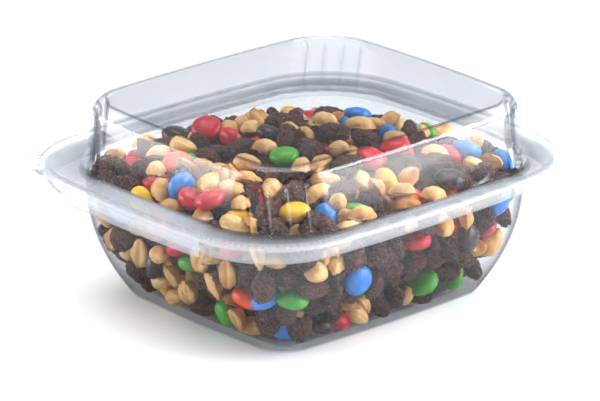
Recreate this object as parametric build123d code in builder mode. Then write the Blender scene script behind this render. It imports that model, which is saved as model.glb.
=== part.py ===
"""A clear hinged food container, closed and full of trail mix.

The tub, the tear strip along its hinge side and the domed lid are sheet-formed
from one clear plastic sheet. The lid swings up about the crease that it shares
with the tear strip. The mix is nuts, raisins and sugar-shelled chocolate drops.

The origin is under the middle of the rim, on the table. +Z is up and the hinge
runs along X on the +Y side. All sizes are in millimetres.
"""
import os
import random
from math import atan2, cos, degrees, hypot, pi, radians, sin

import numpy as np
from build123d import *

# Sheet and clearances
SHEET = 0.6            # thickness of the formed sheet
FIT_GAP = 0.3          # between the lid and the tub

# Mouth, shared by the top of the tub and the foot of the dome
MOUTH_X = 140.0
MOUTH_Y = 155.0
MOUTH_CORNER = 28.0    # reach of a corner arc along each side
SIDE_BOW = 1.5         # how far the middle of a side stands out
CREASE = 0.90          # corner arcs are this much flatter than a round corner

# Tub
TUB_HEIGHT = 56.5      # top face of the rim
BASE_INSET = 18.4      # how far the foot lies inside the mouth
WALL_CURVE = 2.1       # power of the wall's outward curve
BASE_CORNER = 12.0
FOOT_BAND = 7.0        # width of the flat ring that the tub stands on
PUSH_UP = 1.6          # height of the raised middle of the floor

# Rim
RIM_WIDTH = 13.0       # from the mouth to the lid's edge
HINGE_EXTRA = 5.6      # added to that on the hinge side
RIM_CORNER = 41.0
LID_OVERHANG = 3.0     # the lid's edge beyond the tub's skirt
SKIRT_DROP = 7.0
SKIRT_TUCK = 2.6       # how far the skirt curls in at its lower edge
CHANNEL_WIDTH = 3.4
CHANNEL_DEPTH = 1.2
BORDER_WIDTH = 4.0     # raised border of the lid's flange
BORDER_RISE = 1.0
LIP_DROP = 1.8         # turned-down edge of the lid

# Dome
DOME_HEIGHT = 25.0     # above the lid's flange
DOME_GAP = 0.4         # the dome's foot inside the mouth
DOME_DRAFT = 4.6       # how far the top lies inside the foot
DOME_CURVE = 1.7       # power of the dome wall's outward curve
DOME_CORNER_TOP = 20.0
DOME_SHOULDER = 6.0    # radius round the top panel
PANEL_DISH = 0.5       # step down to the flat middle of the top panel
PANEL_MARGIN = 0.6
PANEL_CORNER = 13.0
FLUTES = 5             # upright flutes in each corner of the dome
FLUTE_RADIUS = 4.0
FLUTE_DEPTH = 1.5
FLUTE_SPREAD = 10.6    # degrees from one flute to the next
FLUTE_TOP = 6.5        # middle of a flute's ball end below the top panel

# Corner tab and tear strip
TAB_REACH = 6.5        # beyond the rim's corner
TAB_HALF_WIDTH = 15.0
TAB_NOSE = 5.0
TAB_RIBS = 3
TAB_RIB_PITCH = 3.6
TAB_RIB_RISE = 0.4
STRIP_HALF = 41.0      # half its length along the hinge
STRIP_DROP = 7.4
STRIP_TUCK = 2.2       # how far its lower edge curls in
STRIP_WIDTH = 2.7
PULL_REACH = 4.0
PULL_DROP = 3.2        # pull tab below the lid's tab
RECESS_DEPTH = 1.0
PULL_SPAN = 0.75       # share of the corner that the pull tab's ribbon runs round
RECESS_SIZE = 7.0      # diamond recess in the pull tab

# Mix
DROP_DIAMETER = 12.8   # sugar-shelled chocolate drop
DROP_THICK = 7.4
NUT_LENGTH = 13.5
NUT_WIDTH = 8.6
NUT_THICK = 8.0
RAISIN_LENGTH = 15.0
RAISIN_WIDTH = 9.6
RAISIN_THICK = 6.6
BED_SIDE = 26.0        # packed middle of the mix, inside the mouth
BED_COVER = 16.0       # loose pieces over its top
HEAP_EDGE = 1.5        # height of the mix above the rim along the walls
HEAP_RISE = 15.0       # rise of the mound in the middle
HEAP_LEAN = 0.12       # the mound falls away to +X -Y by this slope
PIECE_MARGIN = 0.25    # kept round each piece as it is laid
PIECE_POKE = 2.0       # how far a piece may stand out of the heap
WALL_GAP = 0.4
LID_GAP = 0.9          # kept under the lid as the mix is laid
GRID = 0.8             # spacing of the height map that the mix is laid on
WAYS = 40              # ways that each kind may lie
TRIES = 220            # places tried for each piece
MISSES = 30            # failures in a row that end the filling
SEED = 11

DROP_COLOURS = ("red", "orange", "yellow", "green", "blue", "brown")
DROP_SHARES = (25, 14, 14, 20, 15, 12)

half_mouth_x = MOUTH_X / 2
half_mouth_y = MOUTH_Y / 2
rim_half_x = half_mouth_x + RIM_WIDTH
rim_half_y = half_mouth_y + RIM_WIDTH + HINGE_EXTRA / 2
mouth_middle = -HINGE_EXTRA / 2         # the rim is wider on the hinge side
hinge_y = rim_half_y
flange_z = TUB_HEIGHT + FIT_GAP          # underside of the lid's flange
lid_top = flange_z + SHEET + DOME_HEIGHT
lip_z = flange_z + SHEET + BORDER_RISE - LIP_DROP
axis_y = hinge_y + FIT_GAP
axis_z = lip_z - FIT_GAP / 2
strip_top = lip_z - FIT_GAP


def outline(z, half_x, half_y, corner, middle, flat=1.0):
    """A face at height z with four bowed sides and four corner arcs."""
    x_end = half_x - SIDE_BOW
    y_end = half_y - SIDE_BOW
    bulge = corner * (1 - flat * cos(pi / 4))
    with BuildSketch(Plane((0, middle, z))) as face:
        with BuildLine():
            for sx, sy in ((1, 1), (1, -1), (-1, -1), (-1, 1)):
                ThreePointArc((sx * (x_end - corner), sy * y_end),
                              (sx * (x_end - bulge), sy * (y_end - bulge)),
                              (sx * x_end, sy * (y_end - corner)))
            for side in (1, -1):
                ThreePointArc((-(x_end - corner), side * y_end), (0, side * half_y),
                              (x_end - corner, side * y_end))
                ThreePointArc((side * x_end, -(y_end - corner)), (side * half_x, 0),
                              (side * x_end, y_end - corner))
        make_face()
    return face.sketch


def mouth_outline(z, grow=0.0):
    """The mouth's outline at height z, grown or shrunk on every side."""
    return outline(z, half_mouth_x + grow, half_mouth_y + grow, MOUTH_CORNER + grow, mouth_middle, CREASE)


def rim_outline(z, inset=0.0):
    """The lid flange's outline at height z, inset on every side."""
    return outline(z, rim_half_x - inset, rim_half_y - inset, RIM_CORNER - inset, 0)


def wall_inset(z):
    """How far the tub's wall lies inside the mouth at height z."""
    return BASE_INSET * max(0.0, 1 - z / TUB_HEIGHT) ** WALL_CURVE


def wall_outline(z, inset=0.0):
    """The tub wall's outline at height z, inset by the sheet for its inner face."""
    shrink = wall_inset(z) + inset
    corner = BASE_CORNER + (MOUTH_CORNER - BASE_CORNER) * z / TUB_HEIGHT - inset
    return outline(z, half_mouth_x - shrink, half_mouth_y - shrink, corner, mouth_middle, CREASE)


def skirt_section(drop, tuck, inset):
    """One outline down the tub's skirt, at a share of its drop and of its tuck."""
    return rim_outline(TUB_HEIGHT - SKIRT_DROP * drop, LID_OVERHANG + SKIRT_TUCK * tuck + inset)


def bead_section(drop, tuck, inset):
    """One outline down the tear strip's bead, at a share of its drop and of its tuck."""
    return rim_outline(strip_top - STRIP_DROP * drop, STRIP_TUCK * tuck + inset)


# Tub: hollow under the rim, the space for the mix, then the sheet itself
levels = [step / 6 for step in range(7)]
skirt_curve = ((0.5, 0.0), (0.85, 0.45), (1.0, 1.0))

with BuildPart() as rim_hollow:
    loft(sections=[skirt_section(drop, tuck, SHEET) for drop, tuck in skirt_curve])
    extrude(skirt_section(0, 0, SHEET), amount=-SKIRT_DROP / 2)
    extrude(rim_outline(TUB_HEIGHT), amount=-SHEET, mode=Mode.SUBTRACT)
    extrude(mouth_outline(TUB_HEIGHT, CHANNEL_WIDTH + SHEET), amount=-CHANNEL_DEPTH - SHEET,
            mode=Mode.SUBTRACT)

with BuildPart() as mix_space:
    loft(sections=[wall_outline(SHEET + (TUB_HEIGHT - SHEET) * level, SHEET) for level in levels])
    extrude(wall_outline(0, FOOT_BAND - SHEET), amount=SHEET + PUSH_UP, mode=Mode.SUBTRACT)

with BuildPart() as tub:
    loft(sections=[skirt_section(drop, tuck, 0) for drop, tuck in skirt_curve])
    extrude(skirt_section(0, 0, 0), amount=-SKIRT_DROP / 2)
    add(rim_hollow.part, mode=Mode.SUBTRACT)
    loft(sections=[wall_outline(TUB_HEIGHT * level) for level in levels])
    extrude(mouth_outline(TUB_HEIGHT, CHANNEL_WIDTH), amount=-CHANNEL_DEPTH, mode=Mode.SUBTRACT)
    add(mix_space.part, mode=Mode.SUBTRACT)
    extrude(wall_outline(0, FOOT_BAND), amount=PUSH_UP, mode=Mode.SUBTRACT)
tub.part.label = "tub"

# Dome: its outside and its inside, each with the flutes in its corners
foot_z = flange_z - CHANNEL_DEPTH
dome_foot_x = half_mouth_x - DOME_GAP
dome_foot_y = half_mouth_y - DOME_GAP
corner_chord = MOUTH_CORNER / 2 ** 0.5
corner_rise = MOUTH_CORNER * (CREASE - cos(pi / 4))
corner_radius = (corner_chord ** 2 + corner_rise ** 2) / (2 * corner_rise)
corner_centre = MOUTH_CORNER * (1 - CREASE * cos(pi / 4)) + corner_radius * cos(pi / 4)
dome_lean = degrees(atan2(DOME_DRAFT, lid_top - foot_z))


def dome_outline(z, inset):
    """The dome's outline at height z, between its foot and the top panel's plane."""
    up = (z - foot_z) / (lid_top - foot_z)
    shrink = DOME_GAP + DOME_DRAFT * up ** DOME_CURVE + inset
    corner = MOUTH_CORNER + (DOME_CORNER_TOP - MOUTH_CORNER) * up - inset
    return outline(z, half_mouth_x - shrink, half_mouth_y - shrink, corner, mouth_middle, CREASE)


def flute_places():
    """Foot points of the flutes round the four corners, with their turn about Z."""
    middle_x = dome_foot_x - SIDE_BOW - corner_centre
    middle_y = dome_foot_y - SIDE_BOW - corner_centre
    out = corner_radius + FLUTE_RADIUS - FLUTE_DEPTH
    for turn in (0, 90, 180, 270):
        for number in range(FLUTES):
            angle = 45 + turn + FLUTE_SPREAD * (number - (FLUTES - 1) / 2)
            side_x = 1 if turn in (0, 270) else -1
            side_y = 1 if turn in (0, 90) else -1
            yield (side_x * middle_x + out * cos(radians(angle)),
                   mouth_middle + side_y * middle_y + out * sin(radians(angle)), angle)


def flute(place, radius):
    """A leaning round bar with a ball end, standing at one flute's place."""
    x, y, angle = place
    length = lid_top - FLUTE_TOP - foot_z
    foot = Plane((x, y, foot_z), x_dir=(cos(radians(angle)), sin(radians(angle)), 0))
    with BuildPart(foot.rotated((0, -dome_lean, 0))) as bar:
        with Locations((0, 0, -radius)):
            Cylinder(radius, length + radius, align=(Align.CENTER, Align.CENTER, Align.MIN))
        with Locations((0, 0, length)):
            Sphere(radius)
    return bar.part


def dome_block(inset):
    """The solid under the dome's outer face, or under its inner face."""
    top = lid_top - inset
    sections = [dome_outline(foot_z + (lid_top - foot_z) * level, inset) for level in levels[:-1:2]]
    with BuildPart() as block:
        loft(sections=sections + [dome_outline(top, inset)])
        fillet(block.faces().sort_by(Axis.Z)[-1].edges(), DOME_SHOULDER - inset)
        panel_x = half_mouth_x - DOME_DRAFT - DOME_SHOULDER - PANEL_MARGIN
        panel_y = half_mouth_y - DOME_DRAFT - DOME_SHOULDER - PANEL_MARGIN
        extrude(outline(top, panel_x, panel_y, PANEL_CORNER, mouth_middle, CREASE),
                amount=-PANEL_DISH, mode=Mode.SUBTRACT)
        for place in flute_places():
            add(flute(place, FLUTE_RADIUS + inset), mode=Mode.SUBTRACT)
    return block.part


# Lid: flange, channel, raised border and corner tab, then the dome over it
border_z = flange_z + SHEET + BORDER_RISE
nest_width = CHANNEL_WIDTH - FIT_GAP
tab_plane = Plane((rim_half_x - SIDE_BOW - RIM_CORNER, rim_half_y - SIDE_BOW - RIM_CORNER, 0),
                  x_dir=(1, 1, 0))


def tab_outline(z, reach, inset=0.0):
    """A round-nosed triangle that stands out from the rim's corner."""
    tip = RIM_CORNER + reach - inset
    root = RIM_CORNER * 0.9
    with BuildSketch(tab_plane.offset(z)) as face:
        with BuildLine():
            FilletPolyline((root, -TAB_HALF_WIDTH + inset), (tip - 3, -TAB_NOSE * 0.8), (tip, 0),
                           (tip - 3, TAB_NOSE * 0.8), (root, TAB_HALF_WIDTH - inset), radius=2.0)
            Line((root, TAB_HALF_WIDTH - inset), (root, -TAB_HALF_WIDTH + inset))
        make_face()
    return face.sketch


with BuildPart() as border_hollow:
    extrude(rim_outline(lip_z, SHEET), amount=border_z - SHEET - lip_z)
    extrude(rim_outline(flange_z, BORDER_WIDTH - SHEET), amount=border_z - flange_z, mode=Mode.SUBTRACT)
    extrude(mouth_outline(lip_z, nest_width), amount=flange_z - lip_z, mode=Mode.SUBTRACT)

with BuildPart() as lid:
    extrude(rim_outline(lip_z), amount=border_z - lip_z)
    extrude(rim_outline(flange_z + SHEET, BORDER_WIDTH), amount=BORDER_RISE, mode=Mode.SUBTRACT)
    extrude(mouth_outline(foot_z, nest_width), amount=flange_z - foot_z)
    extrude(mouth_outline(foot_z + SHEET, nest_width - SHEET), amount=CHANNEL_DEPTH, mode=Mode.SUBTRACT)
    add(border_hollow.part, mode=Mode.SUBTRACT)
    # corner tab with its ribs
    extrude(tab_outline(border_z - SHEET, TAB_REACH), amount=SHEET)
    with BuildSketch(tab_plane.offset(border_z)):
        with Locations((RIM_CORNER + TAB_REACH / 4, 0)):
            with GridLocations(0, TAB_RIB_PITCH, 1, TAB_RIBS):
                SlotOverall(TAB_REACH, TAB_RIB_PITCH / 2)
    extrude(amount=TAB_RIB_RISE)
    # dome
    add(dome_block(0))
    add(dome_block(SHEET), mode=Mode.SUBTRACT)
lid.part.label = "lid"

# Tear strip: a bead along the hinge, open towards the skirt, and its pull tab
bead_curve = ((0.0, 0.25), (0.2, 0.0), (0.5, 0.0), (0.8, 0.4), (1.0, 1.0))
pull_z = strip_top - PULL_DROP
strip_foot = strip_top - STRIP_DROP
above_strip = (Align.CENTER, Align.CENTER, Align.MIN)

with BuildPart() as bead_hollow:
    loft(sections=[bead_section(drop, tuck, SHEET) for drop, tuck in bead_curve])
    with Locations((0, hinge_y, strip_foot)):
        Box(2 * (STRIP_HALF - SHEET), 2 * RIM_WIDTH, STRIP_DROP - SHEET, align=above_strip,
            mode=Mode.INTERSECT)

with BuildPart() as pull_tab:
    extrude(rim_outline(pull_z), amount=SHEET)
    extrude(tab_outline(pull_z, PULL_REACH), amount=SHEET)
    with Locations((STRIP_HALF - SHEET, hinge_y - RIM_CORNER * PULL_SPAN, pull_z)):
        Box(RIM_CORNER * 2, RIM_CORNER * 2, SHEET, align=(Align.MIN, Align.MIN, Align.MIN),
            mode=Mode.INTERSECT)
    with BuildSketch(tab_plane.offset(pull_z)) as diamond:
        with Locations((RIM_CORNER + PULL_REACH - RECESS_SIZE * 0.8, 0)):
            Rectangle(RECESS_SIZE, RECESS_SIZE, rotation=45)
    extrude(amount=-RECESS_DEPTH)
    extrude(offset(diamond.sketch, -SHEET, mode=Mode.PRIVATE).moved(Location((0, 0, SHEET))),
            amount=-RECESS_DEPTH, mode=Mode.SUBTRACT)

with BuildPart() as tear_strip:
    loft(sections=[bead_section(drop, tuck, 0) for drop, tuck in bead_curve])
    with Locations((0, hinge_y, strip_foot)):
        Box(2 * STRIP_HALF, 2 * RIM_WIDTH, STRIP_DROP, align=above_strip, mode=Mode.INTERSECT)
    add(bead_hollow.part, mode=Mode.SUBTRACT)
    add(pull_tab.part)
    extrude(rim_outline(strip_foot - RECESS_DEPTH, STRIP_WIDTH), amount=2 * STRIP_DROP,
            mode=Mode.SUBTRACT)
tear_strip.part.label = "tear_strip"

# Mix: faceted pieces of each kind, and the packed middle that they lie on
floor_z = SHEET + PUSH_UP
bed_half_x = half_mouth_x - BED_SIDE
bed_half_y = half_mouth_y - BED_SIDE
bed_shoulder = TUB_HEIGHT + HEAP_EDGE - BED_COVER
bed_top = bed_shoulder + HEAP_RISE
bed_slope = 0.5 * bed_half_x


def pebble(length, width, rings, sides):
    """A faceted piece with polygon rings, each given as (height, share of the width)."""
    with BuildPart() as piece:
        for height, share in rings:
            with BuildSketch(Plane.XY.offset(height)):
                Polygon(*[(length / 2 * share * cos(2 * pi * k / sides),
                           width / 2 * share * sin(2 * pi * k / sides)) for k in range(sides)])
        loft(ruled=True)
    return piece.part.solid()


drop_rings = ((-DROP_THICK / 2, 0.55), (0, 1.08), (DROP_THICK / 2, 0.55))
half_rings = ((-NUT_THICK / 4, 1.05), (NUT_THICK / 4, 0.6))
whole_rings = ((-NUT_THICK / 2, 0.5), (0, 1.08), (NUT_THICK / 2, 0.5))
raisin_rings = ((-RAISIN_THICK / 2, 0.55), (0, 1.08), (RAISIN_THICK / 2, 0.55))
PIECES = {
    "drop": pebble(DROP_DIAMETER, DROP_DIAMETER, drop_rings, 6),
    "nut_half": pebble(NUT_LENGTH, NUT_WIDTH, half_rings, 6),
    "nut_whole": pebble(NUT_LENGTH, NUT_WIDTH, whole_rings, 5),
    "raisin": pebble(RAISIN_LENGTH, RAISIN_WIDTH, raisin_rings, 5),
}
SHARES = {"drop": 0.27, "nut_half": 0.22, "nut_whole": 0.10, "raisin": 0.41}


def heap_height(x, y):
    """The highest that the mix may reach over a place."""
    reach = hypot(x / half_mouth_x, y / half_mouth_y)
    away = max(0.0, (x - y) * cos(pi / 4))
    return TUB_HEIGHT + HEAP_EDGE + HEAP_RISE * max(0.0, 1 - reach ** 1.6) - HEAP_LEAN * away


def bed_height(x, y):
    """Top of the packed middle over a place, or None beside it."""
    side = min(bed_half_x - abs(x), bed_half_y - abs(y))
    return None if side < 0 else bed_shoulder + HEAP_RISE * min(1.0, side / bed_slope)


def footprint(solid):
    """Lowest and highest face of a convex solid over each grid point, a little grown."""
    box = solid.bounding_box()
    reach_x = int(max(-box.min.X, box.max.X) / GRID) + 2
    reach_y = int(max(-box.min.Y, box.max.Y) / GRID) + 2
    gx, gy = np.meshgrid(np.arange(-reach_x, reach_x + 1) * GRID,
                         np.arange(-reach_y, reach_y + 1) * GRID, indexing="ij")
    low = np.full(gx.shape, -1e3)
    high = np.full(gx.shape, 1e3)
    inside = np.ones(gx.shape, bool)
    for face in solid.faces():
        normal, point = face.normal_at(), face.center()
        reach = normal.dot(point) + PIECE_MARGIN - normal.X * gx - normal.Y * gy
        if abs(normal.Z) < 0.02:
            inside &= reach >= 0
        elif normal.Z < 0:
            low = np.maximum(low, reach / normal.Z)
        else:
            high = np.minimum(high, reach / normal.Z)
    inside &= low < high
    return np.where(inside, low, np.inf), np.where(inside, high, -np.inf), reach_x, reach_y


def turned(solid, turns):
    return solid.moved(Location((0, 0, 0), turns))


def within(face, gx, gy):
    """Which grid points lie inside an outline."""
    wire = face.wire()
    ring = [wire @ (k / 64) for k in range(64)]
    area = sum(a.X * b.Y - b.X * a.Y for a, b in zip(ring, ring[1:] + ring[:1]))
    inside = np.ones(gx.shape, bool)
    for a, b in zip(ring, ring[1:] + ring[:1]):
        inside &= ((b.X - a.X) * (gy + mouth_middle - a.Y) - (b.Y - a.Y) * (gx - a.X)) * area > 0
    return inside


def settle():
    """Drop pieces into the tub one by one, each where it comes to lie lowest."""
    rng = random.Random(SEED)
    size_x = int(half_mouth_x / GRID) + 2
    size_y = int(half_mouth_y / GRID) + 2
    xs = np.arange(-size_x, size_x + 1) * GRID
    ys = np.arange(-size_y, size_y + 1) * GRID
    gx, gy = np.meshgrid(xs, ys, indexing="ij")
    ground = np.full(gx.shape, np.inf)
    for step in range(41):
        z = SHEET + (TUB_HEIGHT - SHEET) * step / 40
        inside = within(wall_outline(z, SHEET + WALL_GAP), gx, gy)
        ground = np.where(inside & np.isinf(ground), max(z, floor_z), ground)
    for i, x in enumerate(xs):
        for j, y in enumerate(ys):
            bed = bed_height(x, y)
            if bed is not None:
                ground[i, j] = bed + PIECE_MARGIN
    # the lid's underside, as low as the dome's foot under its flutes
    roof = np.full(gx.shape, foot_z)
    for step in range(21):
        z = foot_z + (lid_top - DOME_SHOULDER - foot_z) * step / 20
        roof = np.where(within(dome_outline(z, SHEET + LID_GAP), gx, gy), z, roof)
    for x, y, _ in flute_places():
        near = np.hypot(gx - x, gy + mouth_middle - y) < FLUTE_RADIUS + SHEET + 2 * LID_GAP
        roof = np.where(near, foot_z, roof)
    # a few dozen ways that each kind can lie, flat or on edge against a wall
    ways = {}
    for kind, solid in PIECES.items():
        ways[kind] = []
        for number in range(WAYS):
            flat = number < WAYS * 0.55
            tilt = rng.uniform(-28, 28) if flat else rng.uniform(55, 95)
            turns = (tilt, rng.uniform(-25, 25), rng.uniform(0, 360))
            way = turned(solid, turns)
            ways[kind].append((way, footprint(way)))
    laid = []
    misses = 0
    while misses < MISSES:
        kind = rng.choices(list(SHARES), list(SHARES.values()))[0]
        best = None
        for _ in range(TRIES):
            i = rng.randrange(2, len(xs) - 2)
            j = rng.randrange(2, len(ys) - 2)
            way, (low, high, rx, ry) = rng.choice(ways[kind])
            if i < rx or j < ry or i + rx >= len(xs) or j + ry >= len(ys) or np.isinf(ground[i, j]):
                continue
            under = ground[i - rx:i + rx + 1, j - ry:j + ry + 1]
            mask = np.isfinite(low)
            z = np.max(under[mask] - low[mask])
            if np.isinf(z) or (best and z > best[0]):
                continue
            over = roof[i - rx:i + rx + 1, j - ry:j + ry + 1]
            top = z + np.max(high)
            if top <= heap_height(xs[i], ys[j]) + PIECE_POKE and np.all(z + high[mask] <= over[mask]):
                best = (z, i, j, way, high, rx, ry)
        if best is None:
            misses += 1
            continue
        misses = 0
        z, i, j, way, high, rx, ry = best
        under = ground[i - rx:i + rx + 1, j - ry:j + ry + 1]
        under[...] = np.where(np.isinf(high), under, np.maximum(under, z + high))
        laid.append((kind, way.moved(Location((xs[i], mouth_middle + ys[j], z)))))
    return laid


with BuildPart() as mix_bed:
    with BuildSketch(Plane((0, mouth_middle, floor_z))):
        Rectangle(2 * bed_half_x, 2 * bed_half_y)
    extrude(amount=bed_shoulder - floor_z)
    with BuildSketch(Plane((0, mouth_middle, bed_shoulder))):
        Rectangle(2 * bed_half_x, 2 * bed_half_y)
    with BuildSketch(Plane((0, mouth_middle, bed_top))):
        Rectangle(2 * (bed_half_x - bed_slope), 2 * (bed_half_y - bed_slope))
    loft(ruled=True)
mix_bed.part.label = "mix_bed"

piles = {}
colour_rng = random.Random(SEED + 1)
for kind, solid in settle():
    name = {"nut_half": "nut_halves", "nut_whole": "whole_nuts", "raisin": "raisins"}.get(kind)
    name = name or "drops_" + colour_rng.choices(DROP_COLOURS, DROP_SHARES)[0]
    piles.setdefault(name, []).append(solid)

os.makedirs("parts", exist_ok=True)
for node in (tub, lid, tear_strip, mix_bed):
    export_step(node.part, f"parts/{node.part.label}.step")
for name, solids in sorted(piles.items()):
    export_step(Compound(label=name, children=solids), f"parts/{name}.step")
    print(name, len(solids), "pieces")
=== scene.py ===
"""A clear hinged food container full of trail mix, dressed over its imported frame.

The sheet-formed tub, lid and tear strip keep their solids' shape and get smooth
shading and a clear plastic, and the flutes in two corners of the dome are pressed
deeper. Each nut, raisin and chocolate drop of the mix takes the place of one
faceted solid, and smaller ones fill the gaps behind them.
"""
import math
import random

import bmesh
import bpy
import numpy as np
from mathutils import Euler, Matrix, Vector, noise
from mathutils.bvhtree import BVHTree


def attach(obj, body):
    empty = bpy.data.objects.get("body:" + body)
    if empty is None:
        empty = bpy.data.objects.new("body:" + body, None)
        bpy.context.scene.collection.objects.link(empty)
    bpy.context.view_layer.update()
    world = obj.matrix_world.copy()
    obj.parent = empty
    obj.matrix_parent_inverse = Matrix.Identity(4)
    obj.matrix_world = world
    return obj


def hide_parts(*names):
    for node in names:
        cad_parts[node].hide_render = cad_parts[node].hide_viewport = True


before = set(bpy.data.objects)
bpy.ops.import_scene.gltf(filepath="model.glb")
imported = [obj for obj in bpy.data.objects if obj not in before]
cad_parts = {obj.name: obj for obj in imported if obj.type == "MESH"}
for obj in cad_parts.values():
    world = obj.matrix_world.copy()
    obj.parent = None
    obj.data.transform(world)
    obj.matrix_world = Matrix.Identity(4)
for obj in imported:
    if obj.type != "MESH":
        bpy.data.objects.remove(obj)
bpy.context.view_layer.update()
MM = 0.001
rng = random.Random(5)
noise.seed_set(5)

# Colours, as linear values
SHELLS = {
    "red": (0.56, 0.004, 0.014),
    "orange": (0.88, 0.085, 0.006),
    "yellow": (0.92, 0.50, 0.004),
    "green": (0.060, 0.36, 0.020),
    "blue": (0.012, 0.19, 0.60),
    "brown": (0.030, 0.010, 0.010),
}
NUT_PALE = (0.88, 0.58, 0.25)
NUT_ROAST = (0.58, 0.235, 0.045)
NUT_DEEP = (0.28, 0.085, 0.016)
# The raisins' dark colour is painted shade in their folds, and their warm colour is painted light on their
# ridges
RAISIN_DARK = (0.030, 0.008, 0.006)
RAISIN_WARM = (0.27, 0.095, 0.062)
# The raisins' pale colour is a sugar bloom, which also serves as painted highlights on their ridges
RAISIN_BLOOM_AND_GLINT = (0.55, 0.36, 0.28)

SHEET_CLEAR = (0.942, 0.948, 0.955)
SHEET_EDGE = (0.41, 0.42, 0.44)
# The bent sheet's colour darkens tight bends: painted shade, standing in for the light that the bends turn
# away
BEND_CLEAR = (0.68, 0.69, 0.71)
CUT_EDGE = (0.55, 0.59, 0.64)

# Camera, from the photo's fitted view
VIEW_AZIMUTH = 228.15
VIEW_ELEVATION = 20.46
VIEW_DISTANCE = 1.826
VIEW_AIM = Vector((0, 0, 0.0388))
FOCAL_LENGTH = 270.0

# The container's measures, as its solids have them
MIDDLE_Y = -0.0028         # middle of the mouth and the dome
HALF_MOUTH = (0.0700, 0.0775)
HALF_WALL = (0.0685, 0.0760)
SIDE_BOW = 0.0015          # how far each side bows out
ARC_CENTRE = 1.348         # how far in a corner's arc is centred, for a corner of 1
ARC_RADIUS = 1.3925
TUB_HEIGHT = 0.0565
TUB_FLARE = 0.0184
DOME_FOOT = 0.0556
DOME_RISE = 0.0268
DOME_DRAFT = 0.0046
DOME_CURVE = 1.7
TUB_CURVE = 2.1
FLOOR_TOP = 0.0025
TUB_SHEET = 0.0009         # room kept for the sheet
DOME_SHEET = 0.0013
FLUTE_DEPTH = 0.0017

# Fluted corners of the dome: where their arcs are centred, and how far they fan out
FLUTE_CENTRE = Vector((0.0303, 0.0378))
FLUTE_RADIUS = 0.0390
FLUTE_FAN = 27.5
FLUTE_CUTS = (26, 45)      # cuts across and along the flutes, to press them in
FLUTE_FOOT = 0.0562
# A bend this tight gets a painted dark line
TIGHT_BEND = 0.0055        # radius under which a bend shows as a line
CUT, BENT, FLUTED = 1, 2, 3


class Socket:
    """A shader value that takes Python's arithmetic signs."""

    def __init__(self, shader, link):
        self.shader = shader
        self.link = link

    def _math(self, operation, *values):
        settings = {"operation": operation}
        return self.shader.node("ShaderNodeMath", settings, dict(enumerate(values)))

    def __add__(self, other):
        return self._math("ADD", self, other)

    __radd__ = __add__

    def __sub__(self, other):
        return self._math("SUBTRACT", self, other)

    def __rsub__(self, other):
        return self._math("SUBTRACT", other, self)

    def __mul__(self, other):
        return self._math("MULTIPLY", self, other)

    __rmul__ = __mul__

    def __pow__(self, other):
        return self._math("POWER", self, other)

    def __abs__(self):
        return self._math("ABSOLUTE", self)

    def clamped(self, low, high):
        """The value's place between low and high, from 0 to 1."""
        values = {"Value": self, "From Min": low, "From Max": high}
        return self.shader.node("ShaderNodeMapRange", {"clamp": True}, values)


class Shader:
    """A material and the nodes added to it."""

    def __init__(self, name):
        self.material = bpy.data.materials.new(name)
        self.material.use_nodes = True
        self.nodes = self.material.node_tree.nodes
        self.links = self.material.node_tree.links
        self.surface = self.nodes["Principled BSDF"]
        self.output = self.nodes["Material Output"]

    def set(self, node, values):
        for key, value in values.items():
            if isinstance(value, Socket):
                self.links.new(value.link, node.inputs[key])
            elif value is not None:
                node.inputs[key].default_value = value

    def node(self, kind, settings=None, values=None, output=0):
        made = self.nodes.new(kind)
        for key, value in (settings or {}).items():
            setattr(made, key, value)
        self.set(made, values or {})
        return Socket(self, made.outputs[output])

    def place(self):
        """The surface point in the object's own frame, in metres."""
        return self.node("ShaderNodeTexCoord", output=3)

    def noise(self, scale, detail=3.0, roughness=0.5, vector=None, distortion=0.0):
        values = {"Vector": vector or self.place(), "Scale": scale, "Detail": detail,
                  "Roughness": roughness, "Distortion": distortion}
        return self.node("ShaderNodeTexNoise", {}, values)

    def mix(self, factor, first, second):
        """A blend of two colours."""
        first, second = (side if isinstance(side, Socket) else (*side, 1) for side in (first, second))
        return self.node("ShaderNodeMix", {"data_type": "RGBA"}, {0: factor, 6: first, 7: second}, output=2)

    def attribute(self, name):
        return self.node("ShaderNodeAttribute", {"attribute_name": name}, output=2)

    def bump(self, height, strength, distance):
        values = {"Height": height, "Strength": strength, "Distance": distance}
        return self.node("ShaderNodeBump", {}, values)

    def blend(self, factor, first, second):
        """A blend of two shaders."""
        return self.node("ShaderNodeMixShader", {}, {0: factor, 1: first, 2: second})

    def film(self, seen):
        """The finished material of a clear sheet, which lets the lamps' light in."""
        ray = self.node("ShaderNodeLightPath", output=1)
        lit = self.node("ShaderNodeBsdfTransparent", {}, {"Color": (0.96, 0.965, 0.97, 1)})
        self.links.new(self.blend(ray, seen, lit).link, self.output.inputs["Surface"])
        return self.material

    def principled(self, **values):
        self.set(self.surface, {key.replace("_", " "): value for key, value in values.items()})
        return self.material


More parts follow.
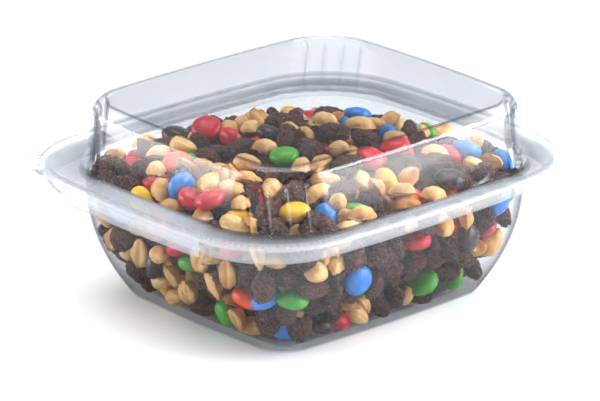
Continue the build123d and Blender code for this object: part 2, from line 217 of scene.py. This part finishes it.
def clear_sheet(name, clear, edge=SHEET_EDGE, spread=2.5, shine=0.028):
    """Clear formed plastic sheet: it mirrors more, and is darker, where it is seen nearly edge on.

    The formed rim, marked by its own attribute, is whiter and less clear.
    """
    shader = Shader(name)
    waves = shader.noise(26, detail=1.0) * 0.7 + shader.noise(80, detail=0.0) * 0.3
    rim_whiteness = shader.attribute("rim_whiteness")
    aslant = shader.node("ShaderNodeLayerWeight", {}, {"Blend": 0.5}, output=1)
    face_on = shader.node("ShaderNodeBsdfTransparent", {}, {"Color": (*clear, 1)})
    edge_on = shader.node("ShaderNodeBsdfTransparent", {}, {"Color": (*edge, 1)})
    through = shader.blend(aslant ** spread, face_on, edge_on)
    shader.principled(Base_Color=shader.mix(rim_whiteness, (0.93, 0.95, 0.98), (0.88, 0.905, 0.94)), Metallic=1 - rim_whiteness,
                      Roughness=0.13 + rim_whiteness * 0.2, Normal=shader.bump(waves, 0.12, 0.0008))
    mirror = aslant ** 8.0 * 0.14 + shine + rim_whiteness * 0.15
    return shader.film(shader.blend(mirror, through, Socket(shader, shader.surface.outputs[0])))


def fluted_sheet():
    """The same sheet where it is drawn thick and thin, so that it bends what is seen through it."""
    shader = Shader("fluted_sheet")
    aslant = shader.node("ShaderNodeLayerWeight", {}, {"Blend": 0.5}, output=1)
    shader.principled(Base_Color=(0.97, 0.975, 0.985, 1), Metallic=0.22, Roughness=0.03, IOR=1.42,
                      Transmission_Weight=1.0)
    flank = shader.node("ShaderNodeBsdfTransparent", {}, {"Color": (0.20, 0.20, 0.22, 1)})
    dark = aslant.clamped(0.06, 0.40) ** 1.2 * 0.9
    return shader.film(shader.blend(dark, Socket(shader, shader.surface.outputs[0]), flank))


def shell_finish(name, colour):
    """Polished sugar shell: even colour, faint mottling and a thin gloss."""
    shader = Shader("shell_" + name)
    shade = shader.attribute("shade")
    mottle = shader.noise(420, detail=4.0, roughness=0.6).clamped(0.35, 0.75)
    pale = tuple(min(1.0, c * 1.18 + 0.02) for c in colour)
    deep = tuple(c * 0.78 for c in colour)
    tint = shader.mix(shade * 0.55 + mottle * 0.35, deep, pale)
    dents = shader.noise(260, detail=2.0) * 0.7 + shader.noise(1900, detail=2.0) * 0.3
    return shader.principled(Base_Color=tint, Roughness=0.24 + mottle * 0.10, Specular_IOR_Level=0.28,
                             Coat_Weight=0.22, Coat_Roughness=0.12,
                             Normal=shader.bump(dents, 0.16, 0.0004))


def nut_finish():
    """Roasted nut: golden, browner in patches and on edges, finely grained."""
    shader = Shader("roasted_nut")
    shade = shader.attribute("shade")
    edge = shader.attribute("rim")
    patches = shader.noise(170, detail=5.0, roughness=0.65).clamped(0.40, 0.68)
    flecks = shader.noise(1300, detail=3.0, roughness=0.7).clamped(0.56, 0.70)
    roast = patches * 0.55 + shade * 0.45 + edge * 0.35 - 0.18
    tint = shader.mix(roast.clamped(0.0, 1.0), NUT_PALE, NUT_ROAST)
    tint = shader.mix((edge * 0.45 + patches * edge * 0.5).clamped(0.15, 1.0) * 0.8, tint, NUT_DEEP)
    tint = shader.mix(flecks * 0.45, tint, NUT_DEEP)
    grain = shader.noise(650, detail=4.0, roughness=0.65) * 0.65 + shader.noise(2600, detail=2.0) * 0.35
    return shader.principled(Base_Color=tint, Roughness=0.30 + patches * 0.16, Specular_IOR_Level=0.35,
                             Normal=shader.bump(grain, 0.6, 0.0006))


def raisin_finish():
    """Dried fruit skin: painted shade near black in its folds, painted light on a net of warmer ridges, and a
    sugar bloom that also paints highlights on the ridges.
    """
    shader = Shader("raisin_skin")
    shade = shader.attribute("shade")
    ridge = shader.attribute("rim")
    folds = 1 - abs(shader.noise(300, detail=3.0, roughness=0.6, distortion=1.2) - 0.5) * 7.0
    creases = 1 - abs(shader.noise(760, detail=3.0, roughness=0.65, distortion=0.8) - 0.5) * 6.0
    net = folds.clamped(0.0, 1.0) ** 1.5 * 0.6 + creases.clamped(0.0, 1.0) ** 1.5 * 0.4
    bloom_and_glint = shader.noise(1500, detail=3.0, roughness=0.7).clamped(0.52, 0.68)
    # Painted light on the ridges and outer bulges and painted shade in the folds, with some random tone per
    # raisin
    ridge_light = (net * 1.1 + ridge * 0.25 + shade * 0.20 - 0.25).clamped(0.0, 1.1)
    tint = shader.mix(ridge_light, RAISIN_DARK, RAISIN_WARM)
    # Sugar bloom speckled on the ridges, which also paints highlights there
    tint = shader.mix(bloom_and_glint * net * 0.6, tint, RAISIN_BLOOM_AND_GLINT)
    return shader.principled(Base_Color=tint, Roughness=0.22 + bloom_and_glint * 0.2, Specular_IOR_Level=0.5,
                             Normal=shader.bump(net, 1.0, 0.0016))


def floor_finish():
    shader = Shader("white_floor")
    grain = shader.noise(3, detail=2.0) * 0.006
    shader.principled(Base_Color=(0.86, 0.87, 0.885, 1), Roughness=0.6 + grain)
    return shader.material


def smooth_by_angle(piece, degrees):
    """Round shading, with creases where faces meet at more than the angle."""
    for polygon in piece.data.polygons:
        polygon.use_smooth = True
    piece.data.set_sharp_from_angle(angle=math.radians(degrees))


def new_piece(name, mesh, material, body):
    piece = bpy.data.objects.new(name, mesh)
    bpy.context.scene.collection.objects.link(piece)
    piece.data.materials.clear()
    piece.data.materials.append(material)
    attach(piece, body)
    return piece


def formed_sheet(node, materials, body, crease):
    """A CAD shell with its loose triangles joined, so that its curves shade round."""
    form = bmesh.new()
    form.from_mesh(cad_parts[node].data)
    bmesh.ops.remove_doubles(form, verts=form.verts, dist=2e-6)
    if node == "lid":
        deepen_flutes(form)
    rim_whiteness = form.verts.layers.float.new("rim_whiteness")
    for vert in form.verts:
        vert[rim_whiteness] = rim_share(vert.co)
    for face in form.faces:
        spot = face.calc_center_median()
        outward = Vector((spot.x, spot.y, 0)).dot(face.normal) > 0
        if is_cut_edge(face):
            face.material_index = CUT
        elif node == "lid" and outward and in_flutes(spot):
            face.material_index = FLUTED
        # Tight bends take the bent sheet, whose darker colour is painted shade
        elif bend_radius(face) < TIGHT_BEND:
            face.material_index = BENT
    mesh = bpy.data.meshes.new(node + "_sheet")
    form.to_mesh(mesh)
    form.free()
    piece = new_piece(node + "_sheet", mesh, materials[0], body)
    for material in materials[1:]:
        piece.data.materials.append(material)
    smooth_by_angle(piece, crease)
    even = piece.modifiers.new("even", "WEIGHTED_NORMAL")
    even.weight = 100
    even.keep_sharp = True
    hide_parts(node)
    return piece


def deepen_flutes(form):
    """Press the flutes of the two -X corners in as deep as those of the +X corners."""
    pattern = BVHTree.FromBMesh(form)
    for side_y in (-1, 1):
        axis = Vector((-FLUTE_CENTRE.x, side_y * FLUTE_CENTRE.y + MIDDLE_Y, 0))
        faces = [face for face in form.faces
                 if any(near_flutes(vert.co - axis, side_y, 0.003) for vert in face.verts)]
        edges = dict.fromkeys(edge for face in faces for edge in face.edges)
        verts = dict.fromkeys(vert for face in faces for vert in face.verts)
        patch = [*verts, *edges, *faces]
        across, along = FLUTE_CUTS
        cuts = [(Vector((0, 0, 0.0557 + 0.001 * step)), Vector((0, 0, 1))) for step in range(across)]
        for step in range(along):
            angle = math.radians(12 + 1.5 * step)
            cuts.append((axis, Vector((math.sin(angle), side_y * math.cos(angle), 0))))
        for place, normal in cuts:
            cut = bmesh.ops.bisect_plane(form, geom=patch, plane_co=place, plane_no=normal, dist=1e-6)
            patch = cut["geom"]
        form.normal_update()
        moves = []
        for vert in form.verts:
            away = vert.co - axis
            if not near_flutes(away, side_y):
                continue
            way = Vector((away.x, away.y, 0)).normalized()
            twin = Vector((-way.x, way.y, 0))
            start = Vector((FLUTE_CENTRE.x, axis.y, max(away.z, FLUTE_FOOT)))
            facing = vert.normal.dot(way)
            if facing > 0.1:
                hit = pattern.ray_cast(start + twin * 0.0412, -twin, 0.010)[0]
            elif facing < -0.1:
                hit = pattern.ray_cast(start + twin * 0.0310, twin, 0.010)[0]
            else:
                hit = None
            if hit is not None:
                shift = (hit - start).length - math.hypot(away.x, away.y)
                if abs(shift) < 0.0040:
                    moves.append((vert, way * shift))
        for vert, shift in moves:
            vert.co += shift
    bmesh.ops.remove_doubles(form, verts=form.verts, dist=8e-6)
    bmesh.ops.triangulate(form, faces=form.faces)


def near_flutes(away, side_y, around=0.0):
    """Whether a place, measured from a -X corner's axis, is in the part of the dome that holds the flutes."""
    angle = math.degrees(math.atan2(side_y * away.y, -away.x))
    far = math.hypot(away.x, away.y)
    level = 0.0552 - around < away.z < 0.0815 + around
    return 10 < angle < 80 and level and 0.0335 - around < far < 0.0402


def is_cut_edge(face):
    """Whether a face is the sheet's narrow cut edge, between two sharp corners."""
    longest = max(edge.calc_length() for edge in face.edges)
    narrow = 2 * face.calc_area() < longest * 0.00075
    corners = [edge.calc_face_angle(0.0) for edge in face.edges]
    return narrow and max(corners) > math.radians(60)


def bend_radius(face):
    """How tightly the sheet is bent across a face: the radius of the bend, or 1 where it is flat."""
    longest = max(edge.calc_length() for edge in face.edges)
    width = 2 * face.calc_area() / max(longest, 1e-9)
    turns = [edge.calc_face_angle(0.0) for edge in face.edges]
    turn = max((turn for turn in turns if turn < math.radians(50)), default=0.0)
    return width / turn if turn > 0.02 else 1.0


def rim_share(spot):
    """1 on the formed rim outside the mouth, and 0 on the walls and the dome."""
    if spot.z < 0.045:
        return 0.0
    out_x = abs(spot.x) - HALF_MOUTH[0]
    out_y = abs(spot.y - MIDDLE_Y) - HALF_MOUTH[1]
    out = max(out_x, out_y)
    if out_x > -0.028 and out_y > -0.028:
        out = max(out, math.hypot(out_x + 0.0348, out_y + 0.0348) - 0.0348)
    return min(1.0, max(0.0, (out - 0.001) / 0.002))


def in_flutes(spot):
    """Whether a place on the lid is in the fluted part of a dome corner."""
    if not FLUTE_FOOT < spot.z < 0.0800:
        return False
    across_x = abs(spot.x) - FLUTE_CENTRE.x
    across_y = abs(spot.y - MIDDLE_Y) - FLUTE_CENTRE.y
    far = math.hypot(across_x, across_y)
    turn = math.degrees(math.atan2(across_y, across_x))
    return abs(turn - 45) < FLUTE_FAN and FLUTE_RADIUS - 0.0085 < far < FLUTE_RADIUS + 0.001


def drop_form(detail, seed):
    """A chocolate drop, a little out of true: length, width and thickness of 1."""
    form = bmesh.new()
    bmesh.ops.create_icosphere(form, subdivisions=detail, radius=0.5)
    offset = Vector((seed * 7.1, seed * 3.3, 0))
    for vert in form.verts:
        co = vert.co
        flat = (4 * (co.x * co.x + co.y * co.y)) ** 1.5
        co.z *= 1.0 + 0.10 * flat
        vert.co = co * (1 + 0.02 * noise.noise(co * 2.4 + offset))
    return form


def nut_half_form(detail, seed):
    """Half a nut: a domed back and a flat face with a groove and a germ notch."""
    form = bmesh.new()
    bmesh.ops.create_icosphere(form, subdivisions=detail, radius=0.5)
    offset = Vector((seed * 5.3, 0, seed * 2.1))
    for vert in form.verts:
        co = vert.co.copy()
        along = 2 * co.x
        co.y *= 1.0 - 0.13 * along
        if co.z < 0:
            rim = min(1.0, 4 * (co.x * co.x + co.y * co.y))
            groove = math.exp(-((co.y / 0.09) ** 2)) * (1 - along * along) * 0.55
            co.z = -0.16 - 0.10 * (1 - rim) * 0.2 + 0.26 * groove + 0.12 * rim ** 4
        else:
            co.z = co.z * 1.32 - 0.16
        if along > 0.72:
            co.z -= 0.10 * (along - 0.72)
            co.x += 0.10 * (along - 0.72) * (1 - abs(2 * co.y))
        vert.co = co * (1 + 0.14 * noise.noise(co * 3.4 + offset) + 0.03 * noise.noise(co * 8.0 - offset))
    return form


def whole_nut_form(detail, seed):
    """A whole nut: two halves with the seam between them and a pointed nose."""
    form = bmesh.new()
    bmesh.ops.create_icosphere(form, subdivisions=detail, radius=0.5)
    offset = Vector((0, seed * 4.7, seed))
    for vert in form.verts:
        co = vert.co.copy()
        along = 2 * co.x
        taper = 1.0 - 0.16 * along
        seam = 1 - 0.11 * math.exp(-((co.z / 0.05) ** 2))
        co.y *= taper * seam
        co.z *= taper
        if along > 0.6:
            co.x += 0.16 * (along - 0.6)
        vert.co = co * (1 + 0.11 * noise.noise(co * 3.0 + offset) + 0.03 * noise.noise(co * 8.0 - offset))
    return form


def raisin_form(detail, seed):
    """A raisin: a squashed skin gathered in deep folds along its length."""
    form = bmesh.new()
    bmesh.ops.create_icosphere(form, subdivisions=detail, radius=0.5)
    offset = Vector((seed * 3.7, seed * 1.9, seed * 5.1))
    for vert in form.verts:
        co = vert.co
        lumps = noise.noise(co * 2.0 + offset)
        warp = noise.noise_vector(co * 2.6 + offset) * 0.16
        along = Vector((co.x * 2.6, co.y * 6.0, co.z * 6.0)) + offset + warp * 4
        fold = abs(noise.noise(along)) * 2.6
        crease = abs(noise.noise(along * 1.9 + offset)) * 2.2
        swell = 0.93 + 0.20 * lumps + 0.30 * min(fold, 0.75) + 0.12 * min(crease, 0.8)
        vert.co = co * swell
    return form


FORMS = {"drop": drop_form, "half": nut_half_form, "whole": whole_nut_form, "raisin": raisin_form}
SIZES = {
    "drop": (12.8, 12.8, 7.6),
    "half": (14.4, 9.4, 5.8),
    "whole": (14.0, 8.8, 8.4),
    "raisin": (15.4, 10.0, 7.4),
}
SHOWN_SIZE = {"drop": 0.98, "half": 0.88, "whole": 0.86, "raisin": 0.97}
VARIANTS = 7


def library(detail):
    """Vertices, faces and ridge shares of every form's variants."""
    kinds = {}
    for kind, make in FORMS.items():
        kinds[kind] = []
        for number in range(VARIANTS):
            form = make(detail, number + 1)
            form.verts.ensure_lookup_table()
            spots = np.array([vert.co[:] for vert in form.verts])
            faces = np.array([[vert.index for vert in face.verts] for face in form.faces])
            spots -= (spots.max(axis=0) + spots.min(axis=0)) / 2
            spots *= 1.03 / np.ptp(spots, axis=0)
            radius = np.linalg.norm(spots, axis=1)
            if kind == "half":
                rim = np.clip(np.hypot(spots[:, 0], spots[:, 1]) * 2.3 - 0.35, 0, 1)
            elif kind == "raisin":
                # For a raisin: how far a point bulges out, which its skin uses for painted light on the
                # bulges
                rim = np.clip((radius - 0.46) / 0.14, 0, 1)
            else:
                rim = np.clip(np.abs(spots[:, 0]) * 2.4 - 0.5, 0, 1)
            kinds[kind].append((spots, faces, rim))
            form.free()
    return kinds


def loose_solids(node):
    """The corners of each separate solid in a CAD node."""
    form = bmesh.new()
    form.from_mesh(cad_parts[node].data)
    bmesh.ops.remove_doubles(form, verts=form.verts, dist=1e-6)
    form.verts.ensure_lookup_table()
    seen = set()
    groups = []
    for start in form.verts:
        if start.index in seen:
            continue
        seen.add(start.index)
        queue = [start]
        group = []
        while queue:
            vert = queue.pop()
            group.append(vert.co[:])
            for edge in vert.link_edges:
                other = edge.other_vert(vert)
                if other.index not in seen:
                    seen.add(other.index)
                    queue.append(other)
        groups.append(np.array(group))
    form.free()
    return groups


def pose_of(corners, kind):
    """Centre and axes (length, width, thickness) of one faceted solid."""
    middle = corners.mean(axis=0)
    _, vectors = np.linalg.eigh(np.cov((corners - middle).T))
    order = sorted(range(3), key=lambda k: np.ptp((corners - middle) @ vectors[:, k]))
    thick, length = vectors[:, order[0]], vectors[:, order[2]]
    if kind == "half":
        up = (corners - middle) @ thick
        spread = np.linalg.norm((corners - middle) - np.outer(up, thick), axis=1)
        if spread[up > 0].mean() > spread[up < 0].mean():
            thick = -thick
    wide = np.cross(thick, length)
    reach = np.array([(corners @ axis).max() + (corners @ axis).min() for axis in (length, wide, thick)]) / 2
    centre = reach[0] * length + reach[1] * wide + reach[2] * thick
    return centre, np.array([length, wide, thick])


class Pile:
    """Many pieces of one kind, gathered in one mesh."""

    def __init__(self):
        self.spots, self.faces, self.rims, self.shades = [], [], [], []
        self.count = 0

    def add(self, form, centre, axes, size):
        spots, faces, rim = form
        self.spots.append((spots * size) @ axes + centre)
        self.faces.append(faces + self.count)
        self.rims.append(rim)
        self.shades.append(np.full(len(spots), rng.random()))
        self.count += len(spots)

    def split(self):
        """The same pieces in two piles."""
        parts = Pile(), Pile()
        pieces = zip(self.spots, self.faces, self.rims, self.shades)
        for number, (spots, faces, rim, shade) in enumerate(pieces):
            part = parts[number % 2]
            part.spots.append(spots)
            part.faces.append(faces - faces.min() + part.count)
            part.rims.append(rim)
            part.shades.append(shade)
            part.count += len(spots)
        return parts

    def mesh(self, name):
        spots = np.concatenate(self.spots)
        faces = np.concatenate(self.faces)
        mesh = bpy.data.meshes.new(name)
        mesh.from_pydata(spots, [], faces.tolist())
        for key, values in (("rim", self.rims), ("shade", self.shades)):
            layer = mesh.attributes.new(key, "FLOAT", "POINT")
            layer.data.foreach_set("value", np.concatenate(values).astype(np.float32))
        for polygon in mesh.polygons:
            polygon.use_smooth = True
        return mesh


NODE_KINDS = {"nut_halves": "half", "whole_nuts": "whole", "raisins": "raisin"}
for colour in SHELLS:
    NODE_KINDS["drops_" + colour] = "drop"


def wall_excess(spots):
    """How far each point lies outside the inner face of the tub or dome, and the way back in."""
    up = np.clip(spots[:, 2] / TUB_HEIGHT, 0, 1)
    dome_up = np.clip((spots[:, 2] - DOME_FOOT) / DOME_RISE, 0, 1)
    in_dome = dome_up > 0
    inset = (1 - up) ** TUB_CURVE * TUB_FLARE + dome_up ** DOME_CURVE * DOME_DRAFT
    inset += np.where(in_dome, DOME_SHEET, TUB_SHEET)
    corner = 0.012 + 0.016 * up - 0.008 * dome_up
    x, y = spots[:, 0], spots[:, 1] - MIDDLE_Y
    end_x, end_y = HALF_WALL[0] - inset, HALF_WALL[1] - inset
    past_x = np.abs(x) - end_x - SIDE_BOW * (1 - (y / HALF_MOUTH[1]) ** 2)
    past_y = np.abs(y) - end_y - SIDE_BOW * (1 - (x / HALF_MOUTH[0]) ** 2)
    arc_x = np.abs(x) - (end_x - ARC_CENTRE * corner)
    arc_y = np.abs(y) - (end_y - ARC_CENTRE * corner)
    arc = np.hypot(arc_x, arc_y)
    past_arc = arc - ARC_RADIUS * corner + np.where(in_dome, FLUTE_DEPTH, 0)
    past_arc = np.where((arc_x > 0) & (arc_y > 0), past_arc, -1)
    excess = np.maximum(np.maximum(past_x, past_y), past_arc)
    on_arc = past_arc >= excess
    way_x = np.where(on_arc, arc_x / np.maximum(arc, 1e-9), past_x >= excess)
    way_y = np.where(on_arc, arc_y / np.maximum(arc, 1e-9), past_x < excess)
    return excess, np.stack([-way_x * np.sign(x), -way_y * np.sign(y)], axis=1)


def kept_inside(form, centre, axes, size):
    """The centre, moved in so that no part of the piece stands through the sheet."""
    spots = (form[0] * size) @ axes
    for _ in range(3):
        excess, way = wall_excess(spots + centre)
        worst = int(np.argmax(excess))
        if excess[worst] <= 0:
            break
        centre = centre + np.append(way[worst] * excess[worst], 0)
    low = (spots[:, 2] + centre[2]).min()
    if low < FLOOR_TOP:
        centre = centre + np.array((0, 0, FLOOR_TOP - low))
    return centre


forms = library(4)
coarse = library(3)
rough = library(2)
size_of = {kind: np.array(size) * MM for kind, size in SIZES.items()}
laid = []
piles = {}

for node, kind in NODE_KINDS.items():
    pile = piles[node] = Pile()
    for corners in loose_solids(node):
        centre, axes = pose_of(corners, kind)
        form = rng.choice(forms[kind])
        size = size_of[kind] * (SHOWN_SIZE[kind] + rng.uniform(-0.05, 0.05))
        centre = kept_inside(form, centre, axes, size)
        pile.add(form, centre, axes, size)
        laid.append((centre, axes, size))


class Bed:
    """Every piece that is laid, and the room between them."""

    def __init__(self):
        self.centres = np.array([centre for centre, _, _ in laid])
        self.turns = np.array([axes for _, axes, _ in laid])
        self.halves = np.array([size for _, _, size in laid]) / 2
        self.fill = {}

    def lay(self, kind, form, centre, axes, size):
        """Add a piece to the fill, and to what later pieces keep clear of."""
        self.fill.setdefault(kind, Pile()).add(form, centre, axes, size)
        self.centres = np.vstack([self.centres, centre])
        self.turns = np.concatenate([self.turns, axes[None]])
        self.halves = np.vstack([self.halves, size / 2])

    def clearance(self, spots, pieces=slice(None)):
        """How far each point lies from each piece, along the line to the piece's middle."""
        away = spots[:, None, :] - self.centres[pieces][None]
        local = np.einsum("nmk,mjk->nmj", away, self.turns[pieces])
        far = np.linalg.norm(local, axis=2)
        share = np.linalg.norm(local / self.halves[pieces][None], axis=2)
        return far * (1 - 1 / np.maximum(share, 1e-6))

    def room_for(self, base, centre, axes, size, near):
        """Free room at each point of a piece's skin, less than 0 where it cuts into another."""
        skin = (rough[base][0][0] * size) @ axes + centre
        return self.clearance(skin, near).min(axis=1)


HEAP_FOOT = 0.058          # height of the heap at the walls
HEAP_RISE = 0.015          # how much higher it is in the middle
HEAP_FALL = 0.12           # its slope towards the far corner


def heap_top(x, y):
    """Height of the mound over a place."""
    reach = np.hypot(x / HALF_MOUTH[0], (y - MIDDLE_Y) / HALF_MOUTH[1])
    away = np.maximum(0, (x - y) * 0.707)
    return HEAP_FOOT + HEAP_RISE * np.maximum(0, 1 - reach ** 1.6) - HEAP_FALL * away


def depth_in_mix(spots):
    """How deep points lie under the mound or behind the walls, whichever is less."""
    top = heap_top(spots[:, 0], spots[:, 1]) - spots[:, 2]
    return np.minimum(top, -wall_excess(spots)[0])


def random_turn():
    """Three axes at right angles, in a random position."""
    turn = Euler([rng.uniform(-math.pi, math.pi) for _ in range(3)]).to_matrix()
    return np.array(turn)


FILL_DROPS = ["drop_" + colour for colour in SHELLS] + ["drop_red", "drop_green", "drop_blue", "drop_yellow"]
FILL_SMALL = ["raisin"] * 5 + ["half"] * 2 + ["whole"]
DROP_SHARE = 0.75
FILL_TRIES = 40
FILL_GAP = 0.0022          # smallest free radius that a piece is laid in
DROP_ROOM = 0.0032         # free radius that a chocolate drop needs
DEEPEST_CUT = 0.0014       # how far a piece may cut into another near the outside
STREWN = 50                # chocolate drops laid over the top
DEEP = 0.013               # pieces this far inside have fewer faces
DEEPEST = 0.022            # and these fewer still
LEAST_DEPTH = 0.0029       # how far inside a piece's middle has to be

# Fill the gaps between the pieces, the widest first
numbers = np.random.default_rng(7)
spots = numbers.uniform((-0.069, -0.079, 0.004), (0.069, 0.074, 0.074), (26000, 3))
depth = depth_in_mix(spots)
spots, depth = spots[depth > LEAST_DEPTH], depth[depth > LEAST_DEPTH]
bed = Bed()
free = np.concatenate([bed.clearance(part).min(axis=1) for part in np.array_split(spots, 40)])
while free.max() > FILL_GAP:
    widest = int(np.argmax(free))
    roomy = min(free[widest], depth[widest]) > DROP_ROOM and rng.random() < DROP_SHARE
    kind = rng.choice(FILL_DROPS if roomy else FILL_SMALL)
    base = kind.split("_")[0]
    inner = depth[widest] > DEEP
    form = rng.choice((rough if depth[widest] > DEEPEST else coarse if inner else forms)[base])
    room = min(free[widest] + 0.0010, depth[widest] + 0.0006)
    fitted = min(0.95, max(0.55, room / (size_of[base][2] / 2)))
    size = size_of[base] * (0.97 if roomy else fitted)
    near = np.argsort(np.linalg.norm(bed.centres - spots[widest], axis=1))[:26]
    best = None
    for _ in range(FILL_TRIES):
        axes = random_turn()
        centre = spots[widest] + np.array([rng.uniform(-0.0015, 0.0015) for _ in range(3)])
        centre = kept_inside(rough[base][0], centre, axes, size)
        cuts = np.minimum(bed.room_for(base, centre, axes, size, near), 0)
        above = ((rough[base][0][0] * size) @ axes + centre)[:, 2].max() - heap_top(centre[0], centre[1])
        cost = cuts.sum() + 4 * cuts.min() - 10 * max(0, above - 0.003)
        if best is None or cost > best[0]:
            best = (cost, cuts.min(), centre, axes)
    _, cut, centre, axes = best
    free[widest] = -1
    if cut > -DEEPEST_CUT or inner:
        bed.lay(kind, form, centre, axes, size)
        free = np.minimum(free, bed.clearance(spots, slice(-1, None))[:, 0])

# Chocolate drops strewn over the top, each lowered until it touches
for _ in range(STREWN):
    best = None
    for _ in range(60):
        x, y = rng.uniform(-0.058, 0.058), rng.uniform(-0.069, 0.064)
        tilt = Euler((rng.uniform(-0.5, 0.5), rng.uniform(-0.5, 0.5), rng.uniform(0, 6.3)))
        axes = np.array(tilt.to_matrix())
        size = size_of["drop"] * 0.97
        aside = np.hypot(bed.centres[:, 0] - x, bed.centres[:, 1] - y)
        near = np.argsort(aside - 0.4 * bed.centres[:, 2])[:24]
        centre = np.array((x, y, heap_top(x, y) + 0.010))
        while centre[2] > 0.05 and bed.room_for("drop", centre, axes, size, near).min() > -0.0009:
            centre[2] -= 0.0005
        sunk = heap_top(x, y) - centre[2]
        outside = wall_excess((rough["drop"][0][0] * size) @ axes + centre)[0].max()
        if sunk > 0.0005 and outside < 0 and (best is None or sunk > best[0]):
            best = (sunk, centre, axes)
    if best:
        bed.lay(rng.choice(FILL_DROPS), rng.choice(forms["drop"]), best[1], best[2], size)

# Finishes
sheets = [clear_sheet("clear_sheet", SHEET_CLEAR), clear_sheet("cut_edge", CUT_EDGE),
          clear_sheet("bent_sheet", BEND_CLEAR, spread=1.6, shine=0.06), fluted_sheet()]
nut = nut_finish()
raisin = raisin_finish()
shells = {name: shell_finish(name, colour) for name, colour in SHELLS.items()}

looks = {"nut": nut, "raisin": raisin, **{"shell_" + name: shell for name, shell in shells.items()}}


def look_of(kind, colour):
    """The key, in looks, of the finish for a kind of piece."""
    return {"half": "nut", "whole": "nut", "raisin": "raisin"}.get(kind, "shell_" + colour)


for node, pile in piles.items():
    look = look_of(NODE_KINDS[node], node.split("_")[-1])
    for number, part in enumerate(pile.split() if node == "raisins" else [pile]):
        piece = new_piece(f"{node}_{number + 1}", part.mesh(node), looks[look], "tub_body")
        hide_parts(node)

for kind, pile in bed.fill.items():
    look = look_of(kind, kind.split("_")[-1])
    piece = new_piece("inner_" + kind, pile.mesh("inner_" + kind), looks[look], "tub_body")
    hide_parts("mix_bed")

formed_sheet("tub", sheets[:3], "tub_body", 9)
formed_sheet("tear_strip", sheets[:3], "tub_body", 35)
formed_sheet("lid", sheets, "lid_body", 35)

# Floor, lamps and camera
floor_mesh = bpy.data.meshes.new("floor")
floor_form = bmesh.new()
bmesh.ops.create_grid(floor_form, x_segments=1, y_segments=1, size=6)
floor_form.to_mesh(floor_mesh)
floor_form.free()
floor = bpy.data.objects.new("floor", floor_mesh)
bpy.context.scene.collection.objects.link(floor)
floor_mesh.materials.append(floor_finish())


def lamp(name, place, size, power):
    """A softbox that faces the container."""
    data = bpy.data.lights.new(name, "AREA")
    data.shape = "RECTANGLE"
    data.size, data.size_y = size
    data.energy = power
    holder = bpy.data.objects.new(name, data)
    bpy.context.scene.collection.objects.link(holder)
    holder.location = place
    holder.rotation_euler = (Vector((0, 0, 0.04)) - Vector(place)).to_track_quat("-Z", "Y").to_euler()


lamp("left_softbox", (0.68, 0.66, 0.20), (0.90, 0.40), 9)
lamp("right_softbox", (-0.74, -0.62, 0.17), (0.90, 0.34), 7.5)
lamp("right_strip", (-0.52, -0.66, 0.55), (0.90, 0.28), 12)
lamp("top_softbox", (0.15, -0.15, 1.5), (1.2, 1.2), 20)

world = bpy.data.worlds.new("studio")
bpy.context.scene.world = world
world.use_nodes = True
sky = world.node_tree
path = sky.nodes.new("ShaderNodeLightPath")
shown = path.outputs["Is Camera Ray"]
for ray in ("Is Glossy Ray", "Is Transmission Ray"):
    either = sky.nodes.new("ShaderNodeMath")
    either.operation = "MAXIMUM"
    sky.links.new(shown, either.inputs[0])
    sky.links.new(path.outputs[ray], either.inputs[1])
    shown = either.outputs[0]
backdrop = sky.nodes.new("ShaderNodeMix")
backdrop.data_type = "RGBA"
backdrop.inputs[6].default_value = (0.62, 0.63, 0.65, 1)
backdrop.inputs[7].default_value = (1, 1, 1, 1)
sky.links.new(shown, backdrop.inputs[0])
sky.links.new(backdrop.outputs[2], sky.nodes["Background"].inputs[0])

azimuth, elevation = math.radians(VIEW_AZIMUTH), math.radians(VIEW_ELEVATION)
back = Vector((math.sin(azimuth) * math.cos(elevation), -math.cos(azimuth) * math.cos(elevation),
               math.sin(elevation)))
lens = bpy.data.cameras.new("camera")
lens.lens = FOCAL_LENGTH
lens.sensor_width = 36
camera = bpy.data.objects.new("camera", lens)
bpy.context.scene.collection.objects.link(camera)
camera.location = VIEW_AIM + back * VIEW_DISTANCE
camera.rotation_euler = (-back).to_track_quat("-Z", "Y").to_euler()
lens.clip_start, lens.clip_end = 0.05, 40
bpy.context.scene.camera = camera
bpy.context.scene.cycles.transparent_max_bounces = 48
bpy.context.scene.view_settings.view_transform = "Standard"
